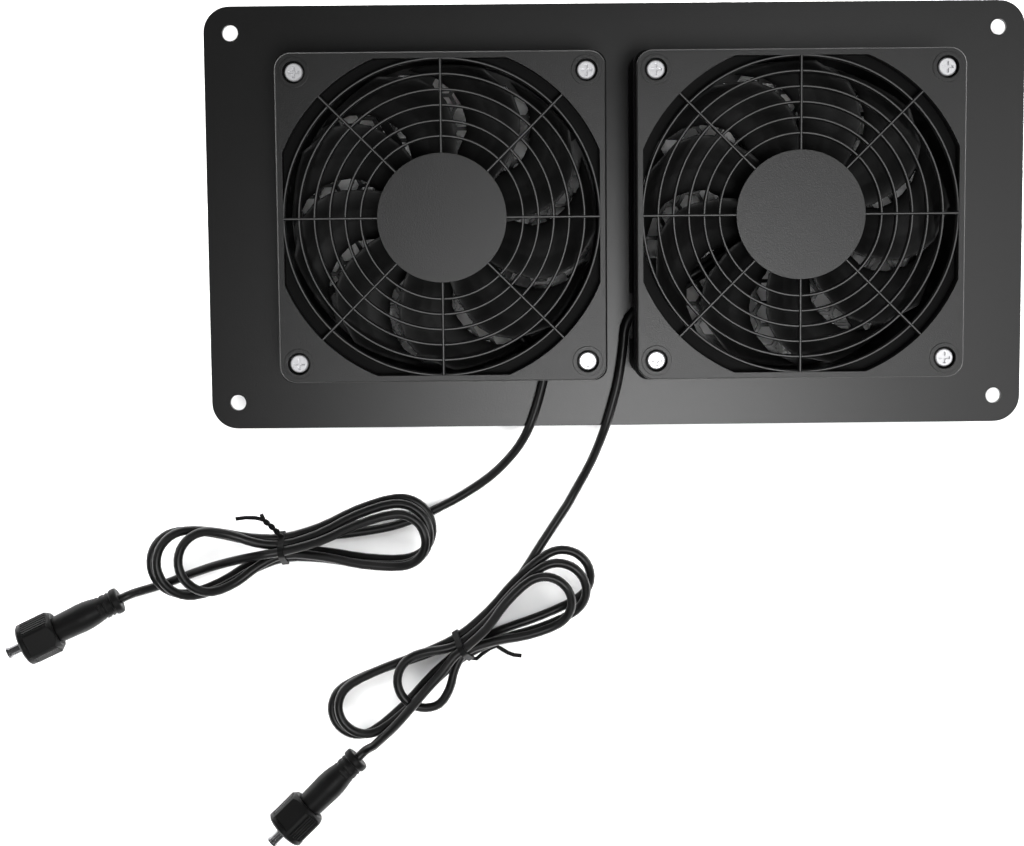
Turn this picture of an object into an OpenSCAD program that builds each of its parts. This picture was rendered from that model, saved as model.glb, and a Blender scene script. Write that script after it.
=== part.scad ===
// Dual 120 mm exhaust fan panel with two plug-ended leads, lying on its back.
// The floor is z = 0, the plate's centre is over the origin and the guards face +Z.

/* [Mounting plate] */
// Length of the plate
plate_l = 310; // [290:1:340]
// Width of the plate
plate_w = 160; // [150:1:180]
// Thickness of the plate
plate_t = 2; // [1.5:0.1:3]
// Corner radius of the plate
plate_r = 10; // [4:0.5:16]
// Distance from a wall hole's centre to the plate's edges
wall_hole_inset = 10; // [8:0.5:12]
// Diameter of a wall hole
wall_hole_d = 6; // [4:0.1:8]
// Distance between neighbouring honeycomb cells
cell_pitch = 8.4; // [8:0.1:10]
// Width of a cell across its flats
cell_w = 7; // [6:0.1:7.4]
// Distance from the honeycomb's edge to the duct's wall
grille_margin = 0.6; // [0.2:0.1:8]

/* [Fan frame] */
// Width of the square fan frame
fan_w = 120; // [110:0.5:130]
// Gap between the two fans
fan_gap = 10; // [4:0.5:16]
// Thickness of the fan frame
fan_t = 25; // [25:0.5:28]
// Distance from a screw's centre to the frame's edges
screw_inset = 7.5; // [7:0.1:8]
// Distance from the air duct to the frame's edges
duct_margin = 2.2; // [2:0.1:2.4]
// Thickness of the duct wall
duct_wall = 1.6; // [1.2:0.1:1.8]
// Thickness of each corner flange
flange_t = 4; // [3:0.1:4.2]
// Corner radius of the frame
frame_corner_r = 5; // [3:0.5:8]
// Diameter of a screw's clearance hole
screw_hole_d = 4.4; // [4.2:0.1:5]
// Radius of the motor base
base_r = 20.5; // [20:0.1:22]
// Width of a plain strut
strut_w = 3.2; // [2:0.1:5]
// Height of a strut
strut_h = 4.1; // [3.8:0.1:4.4]
// Direction of the strut that carries the cable
cable_angle = -58; // [-60:1:-56]

/* [Guard] */
// How far the guard stays inside the fan frame's edges
guard_margin = 0.5; // [0:0.1:0.7]
// Height of the guard
guard_h = 5.5; // [5:0.1:8]
// Thickness of the guard's face
guard_face_t = 2; // [1.5:0.1:2.5]
// Thickness of the guard's skirt
guard_skirt_t = 1.6; // [1.2:0.1:1.8]
// Corner radius of the guard
guard_corner_r = 6; // [4:0.5:8]
// How far the guard's round opening would run past the guard's sides
opening_over = 2.5; // [0.5:0.5:3.5]
// Width of the guard's rim where flats cut the opening
rim_w = 2.3; // [2:0.1:2.4]
// Radius of the centre disc
disc_r = 23.4; // [20:0.1:26]
// Radius of the innermost ring
ring_first_r = 29.4; // [28:0.1:30]
// Distance from the outermost ring's middle to the rim's flats
ring_margin = 0; // [0:0.1:3]
// Number of rings
ring_count = 6; // [3:1:6]
// Width of a ring and of a spoke
bar_w = 1.1; // [0.8:0.1:1.4]
// Width of the flat crest along a ring or a spoke
crest_w = 0.4; // [0.2:0.05:0.7]
// Number of spokes
spoke_count = 8; // [4:4:12]
// Diameter of the recess for a screw head
recess_d = 8.1; // [7.4:0.1:8.4]
// Thickness of the recess's floor
recess_floor = 2.4; // [1.2:0.1:2.6]
// Width of the collar round a recess
collar_w = 1.4; // [1:0.1:1.6]

/* [Fan motor] */
// Number of blades
blade_count = 9; // [5:1:11]
// Gap between a blade's tip and the duct
tip_gap = 1.4; // [1:0.1:4]
// Thickness of a blade
blade_t = 1.4; // [1:0.1:2]
// Radius of the hub
hub_r = 20; // [19.8:0.1:20.5]
// Thickness of the hub's wall and top
hub_wall = 1.4; // [1.2:0.1:1.6]
// Thickness of the steel yoke
yoke_t = 1.2; // [1:0.1:1.4]
// Thickness of the magnet ring
magnet_t = 2.4; // [1.8:0.1:2.6]
// Air gap between magnet and stator
air_gap = 0.5; // [0.4:0.05:0.8]
// Diameter of the shaft
shaft_d = 3; // [2.8:0.1:3.2]
// Outer diameter of a bearing
bearing_d = 8; // [8:0.1:8.4]
// Height of a bearing
bearing_h = 4; // [3.5:0.1:4.4]
// Running clearance between rings, shields and balls
bearing_gap = 0.04; // [0.02:0.01:0.08]
// Wall of the bearing tube
tube_wall = 1.2; // [1:0.1:1.4]

/* [Fasteners] */
// Diameter of a screw's shank
screw_d = 3.9; // [3:0.1:4.1]
// Diameter of a screw's head
screw_head_d = 6.4; // [6:0.1:7.2]
// Height of a screw's head
screw_head_h = 2.8; // [2:0.1:3.2]
// How far a screw's tip passes its nut
screw_tip = 1.5; // [1:0.1:3]
// Width of a nut across its flats
nut_w = 7; // [6:0.1:8]
// Height of a lock nut
nut_h = 5; // [4:0.1:6]

/* [Cable and plug] */
// Diameter of the cable
cord_d = 3.5; // [3:0.1:3.6]
// Length of the plug's grip
grip_l = 26; // [24:0.5:30]
// Diameter of the plug's grip at its middle
grip_d = 11.2; // [10.5:0.1:12]
// Diameter of the grip's rear rim
rim_d = 10.2; // [9:0.1:11]
// Length of the coupling nut
plug_nut_l = 14; // [12:0.5:16]
// Width of the coupling nut across its rounded corners
plug_nut_d = 16.8; // [16.4:0.1:17.2]
// Width of the coupling nut across its flats
plug_nut_w = 14.8; // [14.6:0.1:15.2]
// Diameter of the plug's barrel
barrel_d = 3.8; // [3.4:0.1:4.2]
// Diameter of the barrel's bore for the pin
barrel_bore = 1.4; // [1.2:0.1:1.8]
// How far the barrel passes the coupling nut
barrel_out = 6.5; // [3:0.5:8]
// Width of a tie
tie_w = 2.4; // [2:0.1:3]
// Thickness of a tie
tie_t = 0.6; // [0.4:0.1:0.8]

/* [Hidden] */
$fn = 96;
LEFT = 0;
RIGHT = 1;

// Sizes that follow from the fan's width.
fan_pitch = fan_w + fan_gap;
screw_pitch = fan_w - 2 * screw_inset;
duct_r = fan_w / 2 - duct_margin;
grille_r = duct_r - grille_margin;
blade_tip_r = duct_r - tip_gap;
guard_w = fan_w - 2 * guard_margin;
opening_r = guard_w / 2 + opening_over;
opening_flat = guard_w / 2 - rim_w;
ring_step = (opening_flat - ring_margin - ring_first_r) / (ring_count - 1);

// Heights above the floor, from the screw tips up.
plate_z = screw_tip + nut_h;
fan_z = plate_z + plate_t;
guard_z = fan_z + fan_t;
screw_head_z = guard_z + recess_floor;
over = 1;

// Each side's frame turn and blade phase, in degrees.
frame_turn = [0, -90];
blade_phase = [85.4, 94.4];

// Fan heights above the plate's face.
base_lift = 0.5;
base_t = 2.5;
rotor_z = 5;
hub_top = 22.5;
blade_low = 6.5;
blade_high = 22;
lower_bearing_z = 3.1;
upper_bearing_z = 14.1;
bearing_tube_top = upper_bearing_z + bearing_h + 0.2;
boss_z = upper_bearing_z + bearing_h + 0.5;
boss_r = 3.2;
tube_r = bearing_d / 2 + tube_wall;
yoke_r = hub_r - hub_wall;
magnet_r = yoke_r - yoke_t;
magnet_bore_r = magnet_r - magnet_t;
stator_r = magnet_bore_r - air_gap;
core_z = 8;
core_h = 8;
sheet_t = 0.6;
board_z = 4.5;
board_t = 1.2;
ball_count = 7;
ball_r = 0.48;
shield_t = 0.3;
pole_count = 4;
pole_w = 4;
pole_tip_t = 1.8;

// The cable's way out of the fan frame.
cable_z = 2.75;
channel_w = cord_d + 0.4;
channel_strut_w = channel_w + 2.6;
channel_floor = cable_z - cord_d / 2 - 0.15;
relief_r = 2.45;
relief_lip_r = 2.7;
relief_seat = duct_r + duct_wall - 0.3;
relief_end_r = relief_seat + 4.9;
pocket_w = 2 * relief_lip_r + 0.8;
scallop_r = 9;
scallop_at = [fan_w / 2 - 22, -fan_w / 2 + 2];

// Cable routes, as points chosen by hand on the floor's frame.
left_route = [
    [-28.2, -59.4, 11.2], [-28, -61.9, 11.2], [-28.5, -64.2, 11.1], [-29.9, -69.5, 10.9],
    [-31.6, -75, 10.7], [-33.9, -81, 10.3], [-37.4, -87.5, 8.2], [-42.2, -93.8, 5.2],
    [-47.9, -99.6, 2.9], [-54.4, -104.5, 1.9]
];
right_route = [
    [5.1, -38.2, 11.2], [3.2, -42.6, 11.2], [2.5, -49, 11.1], [1.6, -56, 11],
    [0.2, -64, 10.9], [-1.6, -71, 10.8], [-3.8, -78.5, 10.6], [-6.2, -85.5, 9.2],
    [-8.8, -92.5, 6.3], [-12, -99.5, 3.6], [-15.9, -106.8, 2]
];
cord_routes = [left_route, right_route];

// Where each hank lies, and how it is turned.
hank_at = [[-129, -127], [-60, -166.2]];
hank_turn = [6, 31];
// The hanks' waist: where each of the seven runs passes the tie, as width and height.
cord_gap = 0.45;
slot_y = (cord_d + cord_gap) / 2;
slot_z = tie_t + 0.3 + cord_d / 2;
slot_rise = sqrt(3) * slot_y;
upper_z = slot_z + 2 * slot_rise + 0.35;
slots = [
    [slot_y, slot_z], [-slot_y, slot_z],
    [2 * slot_y, slot_z + slot_rise], [-2 * slot_y, slot_z + slot_rise],
    [slot_y, upper_z], [-slot_y, upper_z],
    [0, upper_z + slot_rise]
];
// Each loop's end: its reach from the tie and its two sides, left ends first.
left_ends = [
    [[52.1, 11.2, -13.6], [48.9, 11.8, -13.8], [39.6, 11.3, -12.2]],
    [[59.5, 9.6, -11.5], [56, 9.8, -11.8], [30, 7.4, -14]]
];
right_ends = [
    [[58.1, 14.4, -10.5], [57, 13, -11.8], [55.5, 9.6, -11.6]],
    [[57.9, 13.5, -8.5], [54, 11, -11.5], [47, 9.8, -11.3]]
];
loop_count = 3;
layer = cord_d + 0.8;
floor_z = cord_d / 2;
// How far the left loops' ends are raised, so that the cable can leave below them.
end_lift = [layer, 0];
// The cable's way into and out of each hank, in the hank's own frame.
hank_in = [
    [[64, 9, 1.75], [60, 7.5, 1.75], [52, 4.9, 1.75], [42, 2.8, 1.75], [30, 2, 1.75], [15, 2, 2.1]],
    [[60, 23.7, 1.75], [56, 21.8, 1.75], [46, 17, 1.75], [35, 11.6, 1.75], [23, 6.6, 1.8], [11, 3.2, 2.1]]
];
hank_out = [
    [[-6, -0.2, 14.4], [-12.5, -0.8, 13.5], [-18.5, -1.8, 11.3], [-25, -3.2, 8.2], [-31, -4.8, 5.2],
     [-37, -6.5, 3], [-43, -8.2, 1.95], [-48.2, -9.5, 1.8], [-52.3, -10.3, 1.8], [-55.2, -10.8, 1.8]],
    [[-4, -0.4, 13.6], [-11, -3, 14.3], [-21, -6, 14.7], [-30, -9.1, 14.6], [-37, -11.5, 13.4],
     [-42.5, -13.2, 11.2], [-47.5, -14.6, 8.9]]
];

// Where each plug's cable end lies, where it points and how far its nose is raised.
plug_at = [[-193.2, -146.8], [-101.6, -210.8]];
plug_turn = [204.5, 223];
nut_phase = [87, 0];
plug_end_z = rim_d / 2;
plug_tilt = atan((plug_nut_d - rim_d) / 2 / (grip_l - 1));
plug_nut_z = grip_l + 0.3;
barrel_tip_z = plug_nut_z + plug_nut_l + barrel_out;
neck_l = 8;
neck_r = 4.6;
nut_clear = 0.3;
seal_z = grip_l + neck_l - 2.5;
seal_r = 0.6;
seal_seat_r = neck_r - 0.2;
rib_h = 0.45;
rib_step = 1.2;

// The ends of each tie in the hank's frame: a twisted pair's arc, and flat or round strips.
tie_pairs = [[[0, 5.1, 9.1], [-2.4, 9.6, 11], [-6.3, 12.6, 9.6]], []];
tie_strips = [
    [[[-5.9, 12.5, 9.6], [-9, 13.4, 8.9], [-13, 13.7, 7.6], [-17, 13.4, 6.2]],
     [[-5.7, 12.3, 9.7], [-6.4, 14.8, 10.1]]],
    [[[0.3, -6.4, 5.5], [1.4, -7.7, 4.6], [4, -7.5, 3.2], [7.5, -7.5, 2], [10.2, -8.1, 1.4],
      [11.3, -10.3, 1.2], [12.6, -12.9, 1.1], [14.2, -15, 1], [16.5, -16.8, 0.9]]]
];
tie_wire_r = 0.6;
tie_strip_r = [0.85, 0.45];

// Sums, directions and swept tubes.
function unit(v) = v / norm(v);
function turned(p, a) = [p[0] * cos(a) - p[1] * sin(a), p[0] * sin(a) + p[1] * cos(a)];
function joined(lists) = [for (list = lists) each list];
function tangent(p, i) = unit(p[min(i + 1, len(p) - 1)] - p[max(i - 1, 0)]);
function ring(p, i, r, sides) =
    let (t = tangent(p, i), n = unit(cross(t, [0, 0, 1])), b = cross(n, t))
    [for (k = [0 : sides - 1])
        p[i] + r[0] * n * cos(360 * (k + 0.5) / sides) + r[1] * b * sin(360 * (k + 0.5) / sides)];
module tube(p, r, sides) {
    rings = [for (i = [0 : len(p) - 1]) each ring(p, i, is_list(r) ? r : [r, r], sides)];
    last = len(p) - 1;
    near_cap = [[for (k = [sides - 1 : -1 : 0]) k]];
    far_cap = [[for (k = [0 : sides - 1]) last * sides + k]];
    walls = [
        for (i = [0 : last - 1], k = [0 : sides - 1])
            let (a = i * sides + k, b = i * sides + (k + 1) % sides)
            each [[a, b, b + sides], [a, b + sides, a + sides]]
    ];
    polyhedron(rings, concat(near_cap, walls, far_cap));
}

// Places of the fans and of the pieces on them.
function fan_at(side) = [(side == LEFT ? -1 : 1) * fan_pitch / 2, 0, fan_z];
module at_fan(side) translate(fan_at(side)) children();
module at_frame(side) at_fan(side) rotate(frame_turn[side]) children();
module at_screws(w = screw_pitch) for (x = [-1, 1], y = [-1, 1])
    translate([x * w / 2, y * w / 2, 0]) children();
module rounded_plate(l, w, r) {
    square([l, w - 2 * r], center = true);
    square([l - 2 * r, w], center = true);
    for (x = [-1, 1], y = [-1, 1]) translate([x * (l / 2 - r), y * (w / 2 - r)]) circle(r);
}

// The plate with its wall holes and a honeycomb behind each fan.
cell_r = cell_w / 2 / cos(30);
column = cell_pitch * cos(30);
columns = ceil(grille_r / column);
rows = ceil(grille_r / cell_pitch) + 1;
cells = [
    for (i = [-columns : columns], j = [-rows : rows])
        let (c = [i * column, (j + (i % 2 == 0 ? 0 : 0.5)) * cell_pitch])
        if (norm(c) + cell_r <= grille_r) c
];
module mounting_plate() color([0.13, 0.13, 0.14]) translate([0, 0, plate_z])
    linear_extrude(plate_t) difference() {
        rounded_plate(plate_l, plate_w, plate_r);
        for (x = [-1, 1], y = [-1, 1])
            translate([x * (plate_l / 2 - wall_hole_inset), y * (plate_w / 2 - wall_hole_inset)])
                circle(d = wall_hole_d);
        for (x = [-1, 1]) translate([x * fan_pitch / 2, 0]) {
            for (c = cells) translate(c) circle(cell_r, $fn = 6);
            for (a = [-1, 1], b = [-1, 1])
                translate([a * screw_pitch / 2, b * screw_pitch / 2]) circle(d = screw_hole_d);
        }
    }

// The moulded frame: two flanges, the duct, four struts, the motor base and the bearing tube.
module fan_frame(side) color([0.09, 0.09, 0.1]) at_frame(side) {
    difference() {
        union() {
            linear_extrude(flange_t) rounded_plate(fan_w, fan_w, frame_corner_r);
            translate([0, 0, fan_t - flange_t]) linear_extrude(flange_t)
                rounded_plate(fan_w, fan_w, frame_corner_r);
            cylinder(h = fan_t, r = duct_r + duct_wall);
        }
        translate([0, 0, -over]) cylinder(h = fan_t + 2 * over, r = duct_r);
        translate([0, 0, -over]) at_screws() cylinder(h = fan_t + 2 * over, d = screw_hole_d, $fn = 32);
        translate([scallop_at[0], scallop_at[1], -over]) cylinder(h = flange_t + over, r = scallop_r);
        rotate(cable_angle) {
            translate([relief_seat, -pocket_w / 2, -over]) cube([6, pocket_w, flange_t + 2 * over]);
            translate([duct_r - over, 0, cable_z]) rotate([0, 90, 0])
                cylinder(h = duct_wall + 2 * over, r = relief_r, $fn = 48);
            translate([relief_seat, 0, cable_z]) rotate([0, 90, 0])
                cylinder(h = 8, r = pocket_w / 2 - 0.2, $fn = 48);
        }
    }
    difference() {
        union() {
            translate([0, 0, base_lift]) cylinder(h = base_t, r = base_r);
            translate([0, 0, base_lift]) cylinder(h = bearing_tube_top - base_lift, r = tube_r);
            for (k = [1 : 3]) rotate(cable_angle + 90 * k)
                translate([base_r - 4, -strut_w / 2, base_lift])
                    cube([duct_r - base_r + 4.6, strut_w, strut_h]);
            rotate(cable_angle) translate([base_r - 4, -channel_strut_w / 2, base_lift])
                cube([duct_r - base_r + 4.2, channel_strut_w, strut_h]);
        }
        rotate(cable_angle) translate([tube_r + 3, -channel_w / 2, channel_floor])
            cube([duct_r, channel_w, strut_h + over]);
        translate([0, 0, -over]) cylinder(h = lower_bearing_z + bearing_h + over, d = bearing_d, $fn = 48);
        cylinder(h = upper_bearing_z + over, r = bearing_d / 2 - 0.7, $fn = 48);
        translate([0, 0, upper_bearing_z]) cylinder(h = bearing_h + over, d = bearing_d, $fn = 48);
    }
}

// The square finger guard: a shallow shell with collars round the screws and a ring grille.
bevel = 0.45;
guard_bore_w = guard_w - 2 * guard_skirt_t;
guard_wall_r = opening_r + 1.2;
module guard_blank() hull() {
    linear_extrude(guard_h - bevel) hull_square(guard_w / 2, guard_corner_r);
    linear_extrude(guard_h) hull_square(guard_w / 2 - bevel, guard_corner_r - bevel);
}
module hull_square(half, r) for (x = [-1, 1], y = [-1, 1])
    translate([x * (half - r), y * (half - r)]) circle(r, $fn = 32);
module clipped_disc(r, flat, h) intersection() {
    cylinder(h = h, r = r);
    translate([-flat, -flat, 0]) cube([2 * flat, 2 * flat, h]);
}
collar_r = recess_d / 2 + collar_w;
// A bar's cross section: sloping shoulders up to a narrow crest.
bar_h = 2.2;
spoke_h = 2.6;
function bar_outline(r, h) = let (w = bar_w / 2, c = crest_w / 2) [
    [r - w, 0], [r + w, 0], [r + w, h - 0.5], [r + c, h], [r - c, h], [r - w, h - 0.5]];
module ring_bar(r) rotate_extrude() polygon(bar_outline(r, bar_h));
module spoke_bar(l) rotate([90, 0, 90]) linear_extrude(l) polygon(bar_outline(0, spoke_h));
module guard(side) color([0.16, 0.16, 0.17]) translate([0, 0, guard_z - fan_z]) at_fan(side) {
    difference() {
        union() {
            difference() {
                guard_blank();
                translate([0, 0, -over]) linear_extrude(guard_h - guard_face_t + over)
                    rounded_plate(guard_bore_w, guard_bore_w, guard_corner_r - guard_skirt_t);
            }
            clipped_disc(guard_wall_r, guard_w / 2 - guard_skirt_t / 2, guard_h - guard_face_t / 2);
            at_screws() cylinder(h = guard_h + 0.3, r = collar_r, $fn = 64);
        }
        translate([0, 0, -over]) clipped_disc(opening_r, opening_flat, guard_h + 2 * over);
        translate([0, 0, recess_floor]) at_screws() cylinder(h = guard_h, d = recess_d, $fn = 64);
        translate([0, 0, -over]) at_screws() cylinder(h = guard_h, d = screw_hole_d, $fn = 32);
    }
    translate([0, 0, guard_h - 1.6]) cylinder(h = 1.4, r = disc_r);
    intersection() {
        clipped_disc(opening_r + 0.4, opening_flat + 0.4, guard_h);
        translate([0, 0, guard_h - 3]) {
            for (k = [0 : ring_count - 1]) ring_bar(ring_first_r + k * ring_step);
            for (k = [0 : spoke_count - 1]) rotate(360 * k / spoke_count)
                translate([disc_r - 1, 0, 0]) spoke_bar(opening_r);
        }
    }
}

// One blade: its clockwise edge is the high one, and its outer part sweeps the other way.
blade_stations = 8;
blade_steps = 5;
blade_share = 360 / blade_count;
function blade_radius(s) = hub_r - 0.6 + s * (blade_tip_r - hub_r + 0.6);
sweep_from = hub_r + 7;
sweep_run = blade_tip_r - hub_r - 8.4;
function past(r, from, run) = max(0, (r - from) / run);
function sweep_at(r) =
    23 * pow(past(r, sweep_from, sweep_run), 2) + 5 * pow(past(r, blade_tip_r - 10.4, 11), 3) - 8.4;
function blade_span(r) = blade_share + 2 - min(9, 9 * past(r, hub_r + 5, 8));
function blade_point(s, c, side) =
    let (
        r = blade_radius(s),
        a = sweep_at(r) - blade_share / 2 - blade_span(r) * (c - 0.5)
            + 4 * c * pow(past(r, blade_tip_r - 7, 7), 2),
        low = blade_low + 2.4 * (1 - s),
        z = low + blade_t / 2 + (blade_high - low - blade_t) * (c - 0.16 * sin(180 * c)),
        thin = c == 0 || c == 1 ? 0.35 : 1
    ) [r * cos(a), r * sin(a), z + side * thin * blade_t / 2];
module blade() {
    n = blade_steps + 1;
    m = blade_stations + 1;
    points = [
        for (side = [-1, 1], i = [0 : blade_stations], j = [0 : blade_steps])
            blade_point(i / blade_stations, j / blade_steps, side)
    ];
    function at(side, i, j) = side * m * n + i * n + j;
    skin = [
        for (i = [0 : blade_stations - 1], j = [0 : blade_steps - 1]) each [
            [at(0, i, j), at(0, i, j + 1), at(0, i + 1, j + 1)],
            [at(0, i, j), at(0, i + 1, j + 1), at(0, i + 1, j)],
            [at(1, i, j), at(1, i + 1, j + 1), at(1, i, j + 1)],
            [at(1, i, j), at(1, i + 1, j), at(1, i + 1, j + 1)]
        ]
    ];
    ends = [
        for (j = [0 : blade_steps - 1]) each [
            [at(0, 0, j), at(1, 0, j + 1), at(0, 0, j + 1)],
            [at(0, 0, j), at(1, 0, j), at(1, 0, j + 1)],
            [at(0, m - 1, j), at(0, m - 1, j + 1), at(1, m - 1, j + 1)],
            [at(0, m - 1, j), at(1, m - 1, j + 1), at(1, m - 1, j)]
        ]
    ];
    edges = [
        for (i = [0 : blade_stations - 1]) each [
            [at(0, i, 0), at(0, i + 1, 0), at(1, i + 1, 0)],
            [at(0, i, 0), at(1, i + 1, 0), at(1, i, 0)],
            [at(0, i, n - 1), at(1, i + 1, n - 1), at(0, i + 1, n - 1)],
            [at(0, i, n - 1), at(1, i, n - 1), at(1, i + 1, n - 1)]
        ]
    ];
    polyhedron(points, concat(skin, ends, edges));
}

// The moulded rotor: a cup that holds yoke and shaft, with its blades.
module impeller(side) color([0.08, 0.08, 0.09]) at_fan(side) {
    difference() {
        union() {
            translate([0, 0, rotor_z]) cylinder(h = hub_top - rotor_z, r = hub_r);
            for (k = [0 : blade_count - 1]) rotate(blade_phase[side] + 360 * k / blade_count) blade();
        }
        translate([0, 0, -over]) cylinder(h = hub_top - hub_wall + over, r = hub_r - hub_wall);
        translate([0, 0, -over]) cylinder(h = hub_top - 0.6 + over, d = shaft_d, $fn = 48);
    }
    translate([0, 0, boss_z]) difference() {
        cylinder(h = hub_top - hub_wall - boss_z + 0.2, r = boss_r, $fn = 48);
        translate([0, 0, -over]) cylinder(h = hub_top, d = shaft_d, $fn = 48);
    }
}
module pipe(z, h, outer_r, inner_r) translate([0, 0, z]) difference() {
    cylinder(h = h, r = outer_r);
    translate([0, 0, -over]) cylinder(h = h + 2 * over, r = inner_r);
}
module rotor_yoke(side) color([0.6, 0.6, 0.62]) at_fan(side)
    pipe(rotor_z, hub_top - hub_wall - rotor_z, yoke_r, magnet_r);
module rotor_magnet(side) color([0.2, 0.2, 0.2]) at_fan(side)
    pipe(rotor_z + 1, hub_top - hub_wall - rotor_z - 3, magnet_r, magnet_bore_r);
shaft_z = 1.6;
module shaft(side) color([0.8, 0.8, 0.82]) at_fan(side) translate([0, 0, shaft_z])
    cylinder(h = hub_top - 0.6 - shaft_z, d = shaft_d, $fn = 48);

// The wound stator on its bearing tube.
module pole_outline(arm, tip_t) {
    difference() {
        circle(tube_r + 2.4);
        circle(tube_r);
    }
    for (k = [0 : pole_count - 1]) rotate(45 + 360 * k / pole_count) {
        translate([tube_r + 1, -arm / 2]) square([stator_r - tube_r - 1.4, arm]);
        intersection() {
            difference() {
                circle(stator_r);
                circle(stator_r - tip_t);
            }
            polygon([[0, 0], [2 * stator_r, -1.2 * stator_r], [2 * stator_r, 1.2 * stator_r]]);
        }
    }
}
module stator_core(side) color([0.55, 0.56, 0.58]) at_frame(side) translate([0, 0, core_z])
    linear_extrude(core_h) pole_outline(pole_w, pole_tip_t);
module stator_insulator(side) color([0.85, 0.85, 0.8]) at_frame(side)
    for (z = [core_z - sheet_t, core_z + core_h])
        translate([0, 0, z]) linear_extrude(sheet_t) pole_outline(pole_w + 0.6, pole_tip_t - 0.4);
module coils(side) color([0.72, 0.4, 0.2]) at_frame(side)
    for (k = [0 : pole_count - 1]) rotate(45 + 360 * k / pole_count) {
        inner = tube_r + 2.5;
        run = stator_r - pole_tip_t - 0.7 - inner;
        hole_w = pole_w + 0.7;
        translate([inner, 0, core_z + core_h / 2]) difference() {
            translate([0, -hole_w / 2 - 1.1, -core_h / 2 - 1.3]) cube([run, hole_w + 2.2, core_h + 2.6]);
            translate([-over, -hole_w / 2, -core_h / 2 - sheet_t - 0.05])
                cube([run + 2 * over, hole_w, core_h + 2 * sheet_t + 0.1]);
        }
    }
module circuit_board(side) color([0.1, 0.35, 0.2]) at_frame(side) {
    pipe(board_z, board_t, magnet_bore_r - 0.8, tube_r);
    translate([8, -2, board_z + board_t]) cube([3.6, 4, 0.7]);
    for (a = [100, 140, 250]) rotate(a) translate([9, -0.8, board_z + board_t]) cube([2, 1.6, 0.6]);
}

// Two ball bearings: fixed outer races with shields, turning inner races, and balls.
race_in_r = shaft_d / 2 + 0.8;
race_out_r = bearing_d / 2 - 0.7;
ball_at_r = (race_in_r + race_out_r) / 2;
bearing_floors = [lower_bearing_z, upper_bearing_z];
module bearing_outer_races(side) color([0.75, 0.75, 0.77]) at_fan(side)
    for (z = bearing_floors) translate([0, 0, z]) rotate_extrude($fn = 48) {
        translate([race_out_r, 0]) square([bearing_d / 2 - race_out_r, bearing_h]);
        for (y = [0, bearing_h - shield_t])
            translate([race_in_r + bearing_gap, y])
                square([race_out_r - race_in_r - bearing_gap + 0.1, shield_t]);
    }
module bearing_inner_races(side) color([0.7, 0.7, 0.72]) at_fan(side)
    for (z = bearing_floors) pipe(z, bearing_h, race_in_r, shaft_d / 2, $fn = 48);
module bearing_balls(side) color([0.85, 0.85, 0.87]) at_fan(side)
    for (z = bearing_floors, k = [0 : ball_count - 1]) rotate(360 * k / ball_count)
        translate([ball_at_r, 0, z + bearing_h / 2]) sphere(ball_r, $fn = 16);
module preload_washer(side) color([0.7, 0.68, 0.6]) at_fan(side)
    pipe(
        upper_bearing_z + bearing_h, boss_z - upper_bearing_z - bearing_h, race_in_r + 0.3, shaft_d / 2,
        $fn = 48);
module retaining_clip(side) color([0.6, 0.6, 0.6]) at_fan(side)
    pipe(lower_bearing_z - 0.5, 0.5, shaft_d / 2 + 1.4, shaft_d / 2, $fn = 48);
module hub_label(side) color([0.82, 0.82, 0.84]) at_frame(side)
    translate([0, 0, base_lift - 0.2]) cylinder(h = 0.2, r = base_r - 3);

// Screws through guard, fan and plate, with lock nuts below.
module fan_screws(side) color([0.75, 0.76, 0.78]) at_fan(side) translate([0, 0, screw_head_z - fan_z])
    at_screws() {
        translate([0, 0, -screw_head_z]) cylinder(h = screw_head_z + 0.1, d = screw_d, $fn = 32);
        difference() {
            union() {
                cylinder(h = screw_head_h - 0.4, d = screw_head_d, $fn = 48);
                translate([0, 0, screw_head_h - 0.4])
                    cylinder(h = 0.4, d1 = screw_head_d, d2 = screw_head_d - 0.7, $fn = 48);
            }
            for (a = [0, 90]) rotate(a) translate([-2.1, -0.5, screw_head_h - 1.3]) cube([4.2, 1, 2]);
        }
    }
module lock_nuts(side) color([0.7, 0.71, 0.73]) at_fan(side) translate([0, 0, screw_tip - fan_z])
    at_screws() difference() {
        union() {
            translate([0, 0, 1.4]) cylinder(h = nut_h - 1.4, d = nut_w / cos(30), $fn = 6);
            cylinder(h = 1.5, r = nut_w / 2 - 0.4, $fn = 48);
        }
        translate([0, 0, -over]) cylinder(h = nut_h + 2 * over, d = screw_d, $fn = 32);
    }

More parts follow.
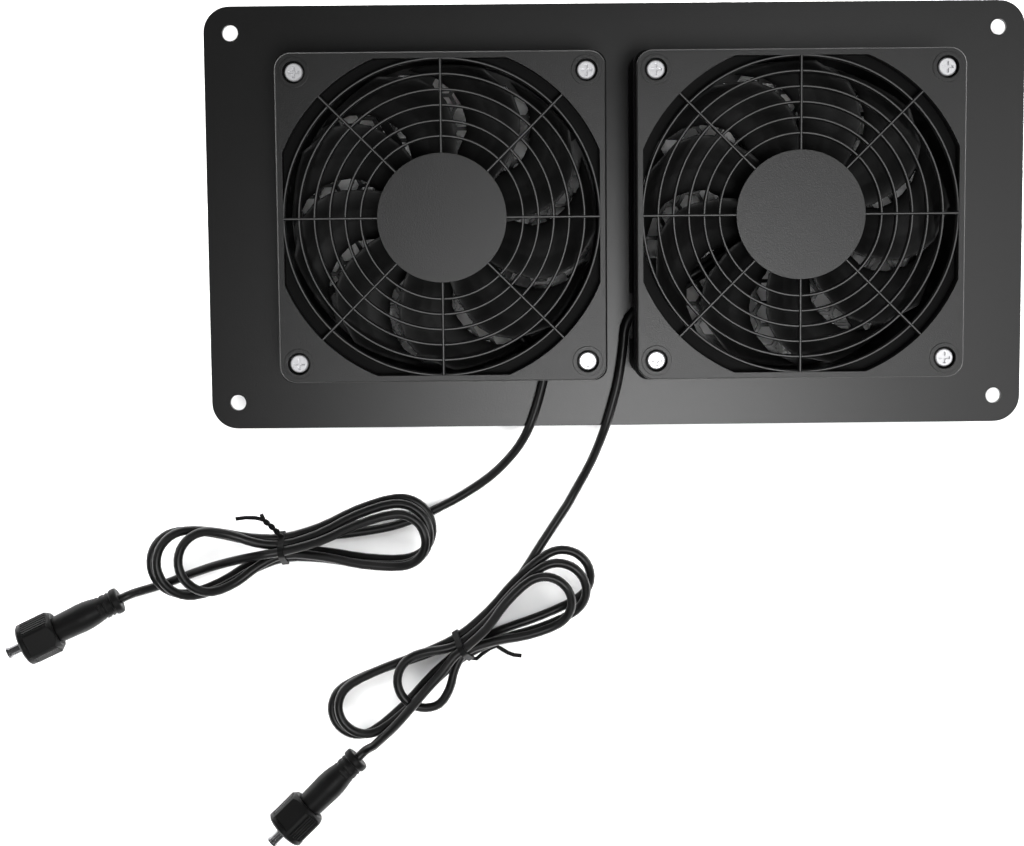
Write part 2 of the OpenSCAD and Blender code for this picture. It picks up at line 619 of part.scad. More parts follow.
// The cable inside the frame, and the relief where it leaves.
module strain_relief(side) color([0.1, 0.1, 0.1]) at_frame(side) rotate(cable_angle)
    translate([0, 0, cable_z]) rotate([0, 90, 0]) difference() {
        union() {
            translate([0, 0, duct_r + 0.25])
                cylinder(h = relief_seat - duct_r - 0.15, r = relief_r, $fn = 48);
            translate([0, 0, relief_seat]) cylinder(h = 1.2, r = relief_lip_r, $fn = 48);
            translate([0, 0, relief_seat + 1.1])
                cylinder(
                    h = relief_end_r - relief_seat - 1.1, r1 = relief_r, r2 = cord_d / 2 + 0.4, $fn = 48);
        }
        translate([0, 0, duct_r - over]) cylinder(h = 8, d = cord_d, $fn = 48);
    }
cable_start_r = tube_r + 7;
module inner_cable(side) color([0.1, 0.1, 0.1]) at_frame(side) rotate(cable_angle) {
    translate([cable_start_r + 5, 0, cable_z]) rotate([0, 90, 0])
        cylinder(h = relief_end_r - cable_start_r - 5, d = cord_d, $fn = 48);
    for (y = [-0.8, 0.8]) {
        translate([cable_start_r, y, cable_z]) rotate([0, 90, 0]) cylinder(h = 5.2, r = 0.55, $fn = 24);
        translate([cable_start_r, y, cable_z]) cylinder(h = board_z - cable_z, r = 0.55, $fn = 24);
    }
}

// The free cable: its lead from the fan, its hank and its tail to the plug.
function lead_start(side) =
    let (a = cable_angle + frame_turn[side])
    [for (r = [relief_end_r, relief_end_r + cord_d])
        [fan_at(side)[0] + r * cos(a), r * sin(a), fan_z + cable_z]];
function on_floor(side, p) =
    let (q = turned(p, hank_turn[side])) [hank_at[side][0] + q[0], hank_at[side][1] + q[1], p[2]];
function lead_path(side) = let (a = hank_in[side][0], b = hank_in[side][1]) concat(
    lead_start(side), cord_routes[side], [on_floor(side, a - cord_d * unit(b - a)), on_floor(side, a)]);
module lead(side) color([0.1, 0.1, 0.1]) tube(lead_path(side), cord_d / 2, 8);

// A loop's end is a half circle of seven rings; a run between ends has five more.
function end_points(e, dir, low, high) =
    let (r = (e[1] - e[2]) / 2, mid = (e[1] + e[2]) / 2)
    [for (k = [0 : 6])
        let (a = 90 * dir - 30 * k * dir, up = min(1, k / 3))
        [-dir * (e[0] - r + r * cos(a)), mid + r * sin(a), low + (high - low) * up * up * (3 - 2 * up)]];
function waist_weight(t) = (1 + cos(360 * t)) / 2;
function run_points(from, slot, to) =
    [for (k = [1 : 5])
        let (t = k / 6, e = waist_weight(t), f = 1 - pow(1 - e, 3), end = t < 0.5 ? from : to)
        [end[0] * abs(1 - 2 * t), slot[0] + (end[1] - slot[0]) * e, slot[1] + (end[2] - slot[1]) * f]];
function left_end(side, k) =
    let (z = floor_z + k * layer + end_lift[side]) end_points(left_ends[side][k], 1, z, z);
function right_end(side, k) =
    [for (p = end_points(right_ends[side][k], -1, floor_z + k * layer, floor_z + (k + 1) * layer + 0.2)) p];
function loop_points(side, k) = let (l = left_end(side, k), r = right_end(side, k)) concat(
    l, run_points(l[6], slots[2 * k + 1], r[0]), r,
    k == loop_count - 1 ? [] : run_points(r[6], slots[2 * k + 2], left_end(side, k + 1)[0]));
function half_run(slot, to) = [for (k = [4, 5])
    let (t = k / 6, e = waist_weight(t), f = 1 - pow(1 - e, 3))
    [to[0] * (2 * t - 1), slot[0] + (to[1] - slot[0]) * e, slot[1] + (to[2] - slot[1]) * f]];
function half_run_out(slot, from) = [for (k = [1, 2])
    let (t = k / 6, e = waist_weight(t), f = 1 - pow(1 - e, 3))
    [from[0] * (1 - 2 * t), slot[0] + (from[1] - slot[0]) * e, slot[1] + (from[2] - slot[1]) * f]];
function hank_local(side) = concat(
    hank_in[side], [[0, slots[0][0], slots[0][1]]], half_run(slots[0], left_end(side, 0)[0]),
    joined([for (k = [0 : loop_count - 1]) loop_points(side, k)]),
    half_run_out(slots[6], right_end(side, loop_count - 1)[6]), [[0, slots[6][0], slots[6][1]]],
    hank_out[side]);
function hank_path(side) = [for (p = hank_local(side)) on_floor(side, p)];
module hank(side) color([0.1, 0.1, 0.1]) tube(hank_path(side), cord_d / 2, 6);

// The least gap between two stretches of one hank, measured on points along it.
function fine(p, n) = [for (i = [0 : len(p) - 2], k = [0 : n - 1]) p[i] + (p[i + 1] - p[i]) * k / n];
function least_gap(p, skip) =
    min([for (i = [0 : len(p) - skip - 1], j = [i + skip : len(p) - 1]) norm(p[i] - p[j])]) - cord_d;
function path_length(p, i = 0) = i >= len(p) - 1 ? 0 : norm(p[i + 1] - p[i]) + path_length(p, i + 1);

function plug_dir(side) = [
    cos(plug_tilt) * cos(plug_turn[side]), cos(plug_tilt) * sin(plug_turn[side]), sin(plug_tilt)];
function plug_point(side) = [plug_at[side][0], plug_at[side][1], plug_end_z];
function tail_path(side) =
    let (
        n = len(hank_out[side]),
        from = on_floor(side, hank_out[side][n - 1]),
        dir = unit(from - on_floor(side, hank_out[side][n - 2])),
        a = from + cord_d * dir,
        b = plug_point(side) - cord_d * plug_dir(side)
    ) [from, a, (a + b) / 2 + norm(b - a) / 8 * (dir - plug_dir(side)), b, plug_point(side)];
module tail(side) color([0.1, 0.1, 0.1]) tube(tail_path(side), cord_d / 2, 8);

for (side = [LEFT, RIGHT]) echo(
    side = side, least_hank_gap = least_gap(fine(hank_local(side), 4), 12),
    lead = path_length(lead_path(side)), hank = path_length(hank_path(side)),
    tail = path_length(tail_path(side)));

// The tie round the hank's waist, with its twisted ends.
function arc_point(p, t) = (1 - t) * (1 - t) * p[0] + 2 * t * (1 - t) * p[1] + t * t * p[2];
function twisted(p, phase) =
    let (line = [for (k = [0 : 12]) arc_point(p, k / 12)])
    [for (i = [0 : 12])
        let (t = tangent(line, i), n = unit(cross(t, [0, 0, 1])), b = cross(n, t), a = phase + 55 * i)
        line[i] + 0.6 * (n * cos(a) + b * sin(a))];
module slot_outline(grow) hull() for (s = slots) translate([s[1], s[0]]) circle(cord_d / 2 + grow, $fn = 24);
module tie(side) color([0.12, 0.12, 0.12]) translate([hank_at[side][0], hank_at[side][1], 0])
    rotate(hank_turn[side]) {
        translate([tie_w / 2, 0, 0]) rotate([0, -90, 0]) linear_extrude(tie_w) difference() {
            slot_outline(0.3 + tie_t);
            slot_outline(0.3);
        }
        for (phase = tie_pairs[side] == [] ? [] : [0, 180])
            tube(twisted(tie_pairs[side], phase), tie_wire_r, 6);
        for (strip = tie_strips[side]) tube(strip, tie_strip_r, 6);
    }

// The plug: grip, coupling nut, barrel, contact and seal, along its own axis.
module at_plug(side) translate(plug_point(side)) rotate([0, 0, plug_turn[side]])
    rotate([0, 90 - plug_tilt, 0]) children();
module plug_grip(side) color([0.1, 0.1, 0.1]) at_plug(side) difference() {
    rotate_extrude() polygon([
        [0, 0], [rim_d / 2 - 0.8, 0], [rim_d / 2 - 0.2, 0.3], [rim_d / 2, 0.9], [rim_d / 2, 2.3],
        [rim_d / 2 - 0.3, 2.9], [rim_d / 2 - 0.7, 3.1], [rim_d / 2 - 0.7, 3.7], [rim_d / 2 - 0.45, 4],
        [rim_d / 2 - 0.45, 8.6], [grip_d / 2 - 0.45, 11], [grip_d / 2 - 0.1, 13.6], [grip_d / 2, 16.5],
        [grip_d / 2 - 0.15, 20], [grip_d / 2 - 0.35, grip_l],
        [neck_r, grip_l], [neck_r, grip_l + 2.2], [neck_r + 1, grip_l + 2.2], [neck_r + 1, grip_l + 3.4],
        [neck_r, grip_l + 3.4], [neck_r, seal_z - 0.8], [seal_seat_r, seal_z - 0.8],
        [seal_seat_r, seal_z + 0.8], [neck_r, seal_z + 0.8], [neck_r, grip_l + neck_l], [0, grip_l + neck_l]
    ]);
    for (z = [5, 7.4], a = [0, 180]) rotate(a) translate([3.9, -2.2, z]) cube([3, 4.4, 1.1]);
    for (z = [4.4, 6.8], a = [90, 270]) rotate(a) translate([3.9, -2.2, z]) cube([3, 4.4, 1.1]);
    translate([0, 0, grip_l + neck_l - 6]) cylinder(h = 7, d = barrel_d, $fn = 48);
    translate([0, 0, grip_l - 4]) cylinder(h = 7, d = 1.6, $fn = 24);
}
module plug_nut(side) color([0.12, 0.12, 0.12]) at_plug(side) translate([0, 0, plug_nut_z])
    rotate(nut_phase[side]) difference() {
        union() {
            intersection() {
                union() {
                    cylinder(h = plug_nut_l - 1.6, d = plug_nut_w / cos(30), $fn = 6);
                    for (k = [0 : 2], j = [-3 : 3]) rotate(30 + 120 * k)
                        translate([plug_nut_w / 2 - 1, j * rib_step - 0.35, 1.6])
                            cube([1 + rib_h, 0.7, plug_nut_l - 4]);
                }
                union() {
                    cylinder(h = 1.8, d1 = plug_nut_d - 3, d2 = plug_nut_d);
                    translate([0, 0, 1.7]) cylinder(h = plug_nut_l - 2.7, d = plug_nut_d);
                }
            }
            translate([0, 0, plug_nut_l - 2.4]) cylinder(h = 1.7, d = plug_nut_d - 0.2);
            translate([0, 0, plug_nut_l - 0.7])
                cylinder(h = 0.7, d1 = plug_nut_d - 0.2, d2 = plug_nut_d - 1.8);
        }
        translate([0, 0, -over]) cylinder(h = 3, r = neck_r + nut_clear);
        translate([0, 0, -0.1]) cylinder(h = 0.9, r1 = plug_nut_w / 2 - 1, r2 = neck_r + nut_clear);
        translate([0, 0, 1.6]) cylinder(h = plug_nut_l, d = plug_nut_w - 2.2);
    }
module plug_barrel(side) color([0.85, 0.85, 0.87]) at_plug(side) difference() {
    union() {
        translate([0, 0, grip_l + neck_l - 6])
            cylinder(h = barrel_tip_z - grip_l - neck_l + 6, d = barrel_d, $fn = 48);
        translate([0, 0, barrel_tip_z - 1.4]) cylinder(h = 0.6, d1 = barrel_d, d2 = barrel_d + 0.7, $fn = 48);
        translate([0, 0, barrel_tip_z - 0.8]) cylinder(h = 0.8, d = barrel_d + 0.7, $fn = 48);
    }
    translate([0, 0, grip_l + neck_l - 5]) cylinder(h = barrel_tip_z, d = barrel_d - 0.8, $fn = 48);
}
module plug_contact(side) color([0.15, 0.15, 0.15]) at_plug(side)
    translate([0, 0, grip_l + neck_l - 5]) difference() {
        cylinder(h = barrel_tip_z - grip_l - neck_l + 4.8, d = barrel_d - 0.8, $fn = 48);
        translate([0, 0, 3]) cylinder(h = barrel_tip_z, d = barrel_bore, $fn = 48);
    }
module plug_seal(side) color([0.5, 0.12, 0.1]) at_plug(side)
    translate([0, 0, seal_z]) rotate_extrude() translate([seal_seat_r + seal_r + 0.02, 0])
        circle(seal_r, $fn = 24);

mounting_plate();
fan_frame(LEFT);  // left_fan_frame
guard(LEFT);  // left_guard
impeller(LEFT);  // left_impeller
rotor_yoke(LEFT);  // left_rotor_yoke
rotor_magnet(LEFT);  // left_rotor_magnet
shaft(LEFT);  // left_shaft
stator_core(LEFT);  // left_stator_core
stator_insulator(LEFT);  // left_stator_insulator
coils(LEFT);  // left_coils
circuit_board(LEFT);  // left_circuit_board
bearing_outer_races(LEFT);  // left_bearing_outer_races
bearing_inner_races(LEFT);  // left_bearing_inner_races
bearing_balls(LEFT);  // left_bearing_balls
preload_washer(LEFT);  // left_preload_washer
retaining_clip(LEFT);  // left_retaining_clip
hub_label(LEFT);  // left_hub_label
fan_screws(LEFT);  // left_fan_screws
lock_nuts(LEFT);  // left_lock_nuts
strain_relief(LEFT);  // left_strain_relief
inner_cable(LEFT);  // left_inner_cable
lead(LEFT);  // left_lead
hank(LEFT);  // left_hank
tail(LEFT);  // left_tail
tie(LEFT);  // left_tie
plug_grip(LEFT);  // left_plug_grip
plug_nut(LEFT);  // left_plug_nut
plug_barrel(LEFT);  // left_plug_barrel
plug_contact(LEFT);  // left_plug_contact
plug_seal(LEFT);  // left_plug_seal
fan_frame(RIGHT);  // right_fan_frame
guard(RIGHT);  // right_guard
impeller(RIGHT);  // right_impeller
rotor_yoke(RIGHT);  // right_rotor_yoke
rotor_magnet(RIGHT);  // right_rotor_magnet
shaft(RIGHT);  // right_shaft
stator_core(RIGHT);  // right_stator_core
stator_insulator(RIGHT);  // right_stator_insulator
coils(RIGHT);  // right_coils
circuit_board(RIGHT);  // right_circuit_board
bearing_outer_races(RIGHT);  // right_bearing_outer_races
bearing_inner_races(RIGHT);  // right_bearing_inner_races
bearing_balls(RIGHT);  // right_bearing_balls
preload_washer(RIGHT);  // right_preload_washer
retaining_clip(RIGHT);  // right_retaining_clip
hub_label(RIGHT);  // right_hub_label
fan_screws(RIGHT);  // right_fan_screws
lock_nuts(RIGHT);  // right_lock_nuts
strain_relief(RIGHT);  // right_strain_relief
inner_cable(RIGHT);  // right_inner_cable
lead(RIGHT);  // right_lead
hank(RIGHT);  // right_hank
tail(RIGHT);  // right_tail
tie(RIGHT);  // right_tie
plug_grip(RIGHT);  // right_plug_grip
plug_nut(RIGHT);  // right_plug_nut
plug_barrel(RIGHT);  // right_plug_barrel
plug_contact(RIGHT);  // right_plug_contact
plug_seal(RIGHT);  // right_plug_seal
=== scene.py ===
"""Dresses the exhaust fan panel: camera, floor, light, cords, ties and finishes.

Everything is in metres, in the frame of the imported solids: the part lies on its back on z = 0,
+X to the right and +Y up in the photograph, +Z towards the camera.
"""

import math

import bpy
from mathutils import Matrix, Vector


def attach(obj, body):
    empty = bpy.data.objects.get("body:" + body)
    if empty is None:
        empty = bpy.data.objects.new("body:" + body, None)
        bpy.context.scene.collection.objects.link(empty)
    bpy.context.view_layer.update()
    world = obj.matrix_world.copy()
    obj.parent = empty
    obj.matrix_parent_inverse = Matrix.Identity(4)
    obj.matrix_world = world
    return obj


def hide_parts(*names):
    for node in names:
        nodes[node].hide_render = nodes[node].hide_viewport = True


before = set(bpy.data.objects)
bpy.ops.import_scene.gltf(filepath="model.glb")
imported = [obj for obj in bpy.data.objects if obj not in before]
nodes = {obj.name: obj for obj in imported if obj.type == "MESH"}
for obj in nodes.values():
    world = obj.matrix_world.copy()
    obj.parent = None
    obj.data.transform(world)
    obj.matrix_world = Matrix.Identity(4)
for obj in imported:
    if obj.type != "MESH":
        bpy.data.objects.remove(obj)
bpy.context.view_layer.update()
scene = bpy.context.scene
MM = 0.001
SIDES = ("left", "right")
PANEL = "panel"


# Camera: fitted to the plate's corners and holes, the guards and the screws.
FOCAL_PX = 1596.0
IMAGE_W = 1024
SENSOR = 36.0
SHIFT_Y = -0.08
CAMERA_AT = (-43.8, 0.4, 617.3)
CAMERA_TURN = (4.48, 0.37, 0.56)


def make_camera():
    data = bpy.data.cameras.new("camera")
    data.sensor_fit = "HORIZONTAL"
    data.sensor_width = SENSOR
    data.lens = FOCAL_PX / IMAGE_W * SENSOR
    data.shift_y = SHIFT_Y
    data.clip_start, data.clip_end = 0.05, 20
    camera = bpy.data.objects.new("camera", data)
    scene.collection.objects.link(camera)
    turn = [math.radians(a) for a in CAMERA_TURN]
    to_camera = (
        Matrix.Rotation(turn[2], 4, "Z")
        @ Matrix.Rotation(turn[1], 4, "Y")
        @ Matrix.Rotation(turn[0], 4, "X")
    )
    camera.matrix_world = Matrix.Translation(Vector(CAMERA_AT) * MM) @ to_camera.transposed()
    scene.camera = camera


make_camera()


# Materials. Numbers go straight on the sockets, and every pattern is a procedural texture.
BUMP_DEPTH = 0.2 * MM
EDGE_SAMPLES = 6
# A cloud's scale against the grain's, and the noise values between which its two tones blend.
CLOUD_SCALE = 1 / 25
CLOUD_RANGE = (0.3, 0.7)


def shader_of(made):
    return next(n for n in made.node_tree.nodes if n.type == "BSDF_PRINCIPLED")


def material(name, color, rough, metallic=0.0, bump=0.0, grain=900.0, vary=0.0, rough_vary=0.0,
             specular=0.5, edge=0.0):
    """A finish. Color is one grey value or three, and edge rounds edges by millimetres."""
    made = bpy.data.materials.new(name)
    made.use_nodes = True
    tree = made.node_tree
    shader = shader_of(made)
    base = (color, color, color) if isinstance(color, float) else color
    shader.inputs["Base Color"].default_value = (*base, 1)
    shader.inputs["Roughness"].default_value = rough
    shader.inputs["Metallic"].default_value = metallic
    shader.inputs["Specular IOR Level"].default_value = specular
    place = tree.nodes.new("ShaderNodeTexCoord")
    noise = tree.nodes.new("ShaderNodeTexNoise")
    noise.inputs["Scale"].default_value = grain
    noise.inputs["Detail"].default_value = 3.0
    tree.links.new(place.outputs["Object"], noise.inputs["Vector"])
    rounded = None
    if edge:
        rounded = tree.nodes.new("ShaderNodeBevel")
        rounded.samples = EDGE_SAMPLES
        rounded.inputs["Radius"].default_value = edge * MM
        tree.links.new(rounded.outputs["Normal"], shader.inputs["Normal"])
    if bump:
        lift = tree.nodes.new("ShaderNodeBump")
        if rounded:
            tree.links.new(rounded.outputs["Normal"], lift.inputs["Normal"])
        lift.inputs["Strength"].default_value = bump
        lift.inputs["Distance"].default_value = BUMP_DEPTH
        tree.links.new(noise.outputs["Fac"], lift.inputs["Height"])
        tree.links.new(lift.outputs["Normal"], shader.inputs["Normal"])
    if vary:
        cloud = tree.nodes.new("ShaderNodeTexNoise")
        cloud.inputs["Scale"].default_value = grain * CLOUD_SCALE
        cloud.inputs["Detail"].default_value = 4.0
        tree.links.new(place.outputs["Object"], cloud.inputs["Vector"])
        ramp = tree.nodes.new("ShaderNodeValToRGB")
        tones = (1 - vary, 1 + vary)
        for stop, position, tone in zip(ramp.color_ramp.elements, CLOUD_RANGE, tones):
            stop.position = position
            stop.color = (*[c * tone for c in base], 1)
        tree.links.new(cloud.outputs["Fac"], ramp.inputs["Fac"])
        tree.links.new(ramp.outputs["Color"], shader.inputs["Base Color"])
    if rough_vary:
        span = tree.nodes.new("ShaderNodeMapRange")
        span.inputs["To Min"].default_value = rough - rough_vary
        span.inputs["To Max"].default_value = rough + rough_vary
        tree.links.new(noise.outputs["Fac"], span.inputs["Value"])
        tree.links.new(span.outputs["Result"], shader.inputs["Roughness"])
    return made


STEEL_BLACK = material("steel_black", 0.006, 0.31, bump=0.12, grain=1400, rough_vary=0.05,
                       vary=0.1, edge=0.3)
FAN_PLASTIC = material("fan_plastic", 0.003, 0.55, bump=0.05, grain=1200, rough_vary=0.04,
                       specular=0.12)
GUARD_PLASTIC = material("guard_plastic", 0.012, 0.35, bump=0.3, grain=2200, rough_vary=0.06,
                         edge=0.2)
BLADE_PLASTIC = material("blade_plastic", 0.012, 0.42, bump=0.04, grain=900, rough_vary=0.04,
                         edge=2.0)
# The near-white base colour is a painted highlight on the screw heads; the shanks and nuts below
# them get plain steel.
SCREW = material("screw_steel", (0.85, 0.85, 0.87), 0.3, metallic=0.3, bump=0.08, grain=1500,
                 rough_vary=0.06)
STEEL = material("steel", (0.5, 0.5, 0.52), 0.3, metallic=1.0, bump=0.05, rough_vary=0.05)
MAGNET = material("magnet", 0.05, 0.6, bump=0.1, vary=0.2)
INSULATOR = material("insulator", (0.62, 0.6, 0.52), 0.45, bump=0.03, vary=0.05)
COPPER = material("copper", (0.72, 0.33, 0.12), 0.3, metallic=0.9, bump=0.4, grain=1600)
BOARD = material("board", (0.02, 0.14, 0.05), 0.35, bump=0.03, vary=0.15)
LABEL = material("label_foil", (0.5, 0.5, 0.52), 0.4, metallic=0.7, rough_vary=0.05)
CORD = material("cord_jacket", 0.005, 0.36, bump=0.1, grain=700, rough_vary=0.05, specular=0.4)
TIE = material("tie_plastic", 0.004, 0.55, bump=0.05, grain=1200, rough_vary=0.04, specular=0.2)
PLUG_RUBBER = material("plug_rubber", 0.006, 0.45, bump=0.2, grain=2400, rough_vary=0.05,
                       specular=0.18, edge=0.3)
PLUG_PLASTIC = material("plug_plastic", 0.005, 0.42, bump=0.1, grain=1800, rough_vary=0.05,
                        specular=0.18, edge=0.3)
NICKEL = material("nickel", (0.22, 0.22, 0.225), 0.16, metallic=0.85, bump=0.03, rough_vary=0.04)
SEAL = material("seal", (0.25, 0.03, 0.02), 0.5, bump=0.05)
FLOOR = material("floor", 0.96, 0.9, bump=0.02, grain=60, specular=0.1)

FINISH = {
    "mounting_plate": STEEL_BLACK,
    "fan_frame": FAN_PLASTIC,
    "guard": GUARD_PLASTIC,
    "impeller": BLADE_PLASTIC,
    "rotor_yoke": STEEL,
    "rotor_magnet": MAGNET,
    "shaft": STEEL,
    "stator_core": STEEL,
    "stator_insulator": INSULATOR,
    "coils": COPPER,
    "circuit_board": BOARD,
    "bearing_outer_races": STEEL,
    "bearing_inner_races": STEEL,
    "bearing_balls": STEEL,
    "preload_washer": STEEL,
    "retaining_clip": INSULATOR,
    "hub_label": LABEL,
    "fan_screws": SCREW,
    "lock_nuts": SCREW,
    "strain_relief": CORD,
    "inner_cable": CORD,
    "lead": CORD,
    "hank": CORD,
    "tail": CORD,
    "tie": TIE,
    "plug_grip": PLUG_RUBBER,
    "plug_nut": PLUG_PLASTIC,
    "plug_barrel": NICKEL,
    "plug_contact": PLUG_PLASTIC,
    "plug_seal": SEAL,
}


# Heights in metres: the guard's underside, the bars' crests, which get a painted highlight, the
# guard below its rim, which gets painted shade, and the screws below their heads, whose heads
# keep a painted highlight.
GUARD_Z = 0.0335
CREST_HIGHLIGHT_HEIGHTS = (GUARD_Z + 0.0043, GUARD_Z + 0.0052)
RECESS_SHADE_HEIGHTS = (GUARD_Z, GUARD_Z + 0.0035)
SHANK_HEIGHTS = (0.0, GUARD_Z + 0.002)
LOOKS_UP = 0.8


def height_mask(made, low, high, upward=False):
    """1 on the faces between two heights, or only on those that look up, and 0 elsewhere."""
    tree = made.node_tree
    place = tree.nodes.new("ShaderNodeNewGeometry")

    def along_z(name):
        part = tree.nodes.new("ShaderNodeSeparateXYZ")
        tree.links.new(place.outputs[name], part.inputs[0])
        return part.outputs["Z"]

    def compute(source, kind, other):
        node = tree.nodes.new("ShaderNodeMath")
        node.operation = kind
        tree.links.new(source, node.inputs[0])
        if isinstance(other, float):
            node.inputs[1].default_value = other
        else:
            tree.links.new(other, node.inputs[1])
        return node.outputs[0]

    height = along_z("Position")
    above, below = compute(height, "GREATER_THAN", low), compute(height, "LESS_THAN", high)
    inside = compute(above, "MULTIPLY", below)
    if upward:
        looks_up = compute(along_z("True Normal"), "GREATER_THAN", LOOKS_UP)
        inside = compute(inside, "MULTIPLY", looks_up)
    return inside


def change_inside(made, inside, name, value):
    """Gives one socket of the shader another value where the mask is 1."""
    tree = made.node_tree
    target = shader_of(made).inputs[name]
    if target.type == "RGBA":
        mix = tree.nodes.new("ShaderNodeMixRGB")
        mix.inputs[1].default_value = target.default_value
        mix.inputs[2].default_value = (*value, 1)
    else:
        mix = tree.nodes.new("ShaderNodeMapRange")
        mix.inputs["To Min"].default_value = target.default_value
        mix.inputs["To Max"].default_value = value
    tree.links.new(inside, mix.inputs[0])
    tree.links.new(mix.outputs[0], target)


# The bars' crests get a lighter colour as a painted highlight, the guard below its rim loses most
# of its reflections as painted shade in its recesses, and the screws are plain steel below their
# heads, whose near-white colour is a painted highlight.
painted_crest_highlight = height_mask(GUARD_PLASTIC, *CREST_HIGHLIGHT_HEIGHTS, upward=True)
change_inside(GUARD_PLASTIC, painted_crest_highlight, "Base Color", (0.11, 0.11, 0.11))
# Painted shade: the guard below its rim loses most of its reflections, so its recesses read dark.
painted_recess_shade = height_mask(GUARD_PLASTIC, *RECESS_SHADE_HEIGHTS)
change_inside(GUARD_PLASTIC, painted_recess_shade, "Specular IOR Level", 0.1)
# Painted highlight: only the screw heads keep the near-white colour, and everything below them is
# plain steel.
shanks = height_mask(SCREW, *SHANK_HEIGHTS)
change_inside(SCREW, shanks, "Base Color", (0.4, 0.4, 0.41))
change_inside(SCREW, shanks, "Metallic", 1.0)


def paint(piece, made):
    piece.data.materials.clear()
    piece.data.materials.append(made)


for name, node in nodes.items():
    paint(node, FINISH[name.split("_", 1)[1] if name.split("_")[0] in SIDES else name])


# Cords: the same route points and hank formula as part.scad, in millimetres, then in metres.
CORD_D = 3.5
FAN_PITCH = 130
FAN_Z = 8.5
CABLE_ANGLE = -58
CABLE_Z = 2.75
DUCT_R = 57.8
DUCT_WALL = 1.6
# From a fan's centre to the free end of its strain relief.
RELIEF_END_R = DUCT_R + DUCT_WALL - 0.3 + 4.9
FRAME_TURN = {"left": 0, "right": -90}
ROUTES = {
    "left": [
        (-28.2, -59.4, 11.2), (-28, -61.9, 11.2), (-28.5, -64.2, 11.1), (-29.9, -69.5, 10.9),
        (-31.6, -75, 10.7), (-33.9, -81, 10.3), (-37.4, -87.5, 8.2), (-42.2, -93.8, 5.2),
        (-47.9, -99.6, 2.9), (-54.4, -104.5, 1.9),
    ],
    "right": [
        (5.1, -38.2, 11.2), (3.2, -42.6, 11.2), (2.5, -49, 11.1), (1.6, -56, 11),
        (0.2, -64, 10.9), (-1.6, -71, 10.8), (-3.8, -78.5, 10.6), (-6.2, -85.5, 9.2),
        (-8.8, -92.5, 6.3), (-12, -99.5, 3.6), (-15.9, -106.8, 2),
    ],
}
HANK_AT = {"left": (-129, -127), "right": (-60, -166.2)}
HANK_TURN = {"left": 6, "right": 31}
CORD_GAP = 0.45
TIE_T = 0.6
SLOT_Y = (CORD_D + CORD_GAP) / 2
SLOT_Z = TIE_T + 0.3 + CORD_D / 2
SLOT_RISE = math.sqrt(3) * SLOT_Y
UPPER_Z = SLOT_Z + 2 * SLOT_RISE + 0.35
SLOTS = [
    (SLOT_Y, SLOT_Z), (-SLOT_Y, SLOT_Z),
    (2 * SLOT_Y, SLOT_Z + SLOT_RISE), (-2 * SLOT_Y, SLOT_Z + SLOT_RISE),
    (SLOT_Y, UPPER_Z), (-SLOT_Y, UPPER_Z),
    (0, UPPER_Z + SLOT_RISE),
]
LEFT_ENDS = {
    "left": [(52.1, 11.2, -13.6), (48.9, 11.8, -13.8), (39.6, 11.3, -12.2)],
    "right": [(59.5, 9.6, -11.5), (56, 9.8, -11.8), (30, 7.4, -14)],
}
RIGHT_ENDS = {
    "left": [(58.1, 14.4, -10.5), (57, 13, -11.8), (55.5, 9.6, -11.6)],
    "right": [(57.9, 13.5, -8.5), (54, 11, -11.5), (47, 9.8, -11.3)],
}
LOOPS = 3
# Steps round a loop's end, steps between two ends, and a right end's rise above one layer.
END_STEPS = 6
RUN_STEPS = 6
RISE_MORE = 0.2
LAYER = CORD_D + 0.8
FLOOR_Z = CORD_D / 2
END_LIFT = {"left": LAYER, "right": 0}
HANK_IN = {
    "left": [
        (64, 9, 1.75), (60, 7.5, 1.75), (52, 4.9, 1.75), (42, 2.8, 1.75), (30, 2, 1.75),
        (15, 2, 2.1),
    ],
    "right": [
        (60, 23.7, 1.75), (56, 21.8, 1.75), (46, 17, 1.75), (35, 11.6, 1.75), (23, 6.6, 1.8),
        (11, 3.2, 2.1),
    ],
}
HANK_OUT = {
    "left": [
        (-6, -0.2, 14.4), (-12.5, -0.8, 13.5), (-18.5, -1.8, 11.3), (-25, -3.2, 8.2),
        (-31, -4.8, 5.2), (-37, -6.5, 3), (-43, -8.2, 1.95), (-48.2, -9.5, 1.8),
        (-52.3, -10.3, 1.8), (-55.2, -10.8, 1.8),
    ],
    "right": [
        (-4, -0.4, 13.6), (-11, -3, 14.3), (-21, -6, 14.7), (-30, -9.1, 14.6), (-37, -11.5, 13.4),
        (-42.5, -13.2, 11.2), (-47.5, -14.6, 8.9),
    ],
}
PLUG_AT = {"left": (-193.2, -146.8), "right": (-101.6, -210.8)}
PLUG_TURN = {"left": 204.5, "right": 223}
# Each plug lies on the rims of its grip and of its nut, which are a grip's length apart.
RIM_D = 10.2
NUT_D = 16.8
GRIP_L = 26
PLUG_TILT = math.degrees(math.atan((NUT_D - RIM_D) / 2 / (GRIP_L - 1)))


def on_floor(side, p):
    """A point of a hank's own frame in the frame of the part."""
    a = math.radians(HANK_TURN[side])
    x, y = HANK_AT[side]
    c, s = math.cos(a), math.sin(a)
    return (x + p[0] * c - p[1] * s, y + p[0] * s + p[1] * c, p[2])


def loop_end(e, way, low, high):
    """A half circle at the left (way 1) or right end (way -1), from one height to another."""
    r, mid = (e[1] - e[2]) / 2, (e[1] + e[2]) / 2
    points = []
    for k in range(END_STEPS + 1):
        a = math.radians(90 * way - 180 / END_STEPS * k * way)
        up = min(1, 2 * k / END_STEPS)
        z = low + (high - low) * up * up * (3 - 2 * up)
        points.append((-way * (e[0] - r + r * math.cos(a)), mid + r * math.sin(a), z))
    return points


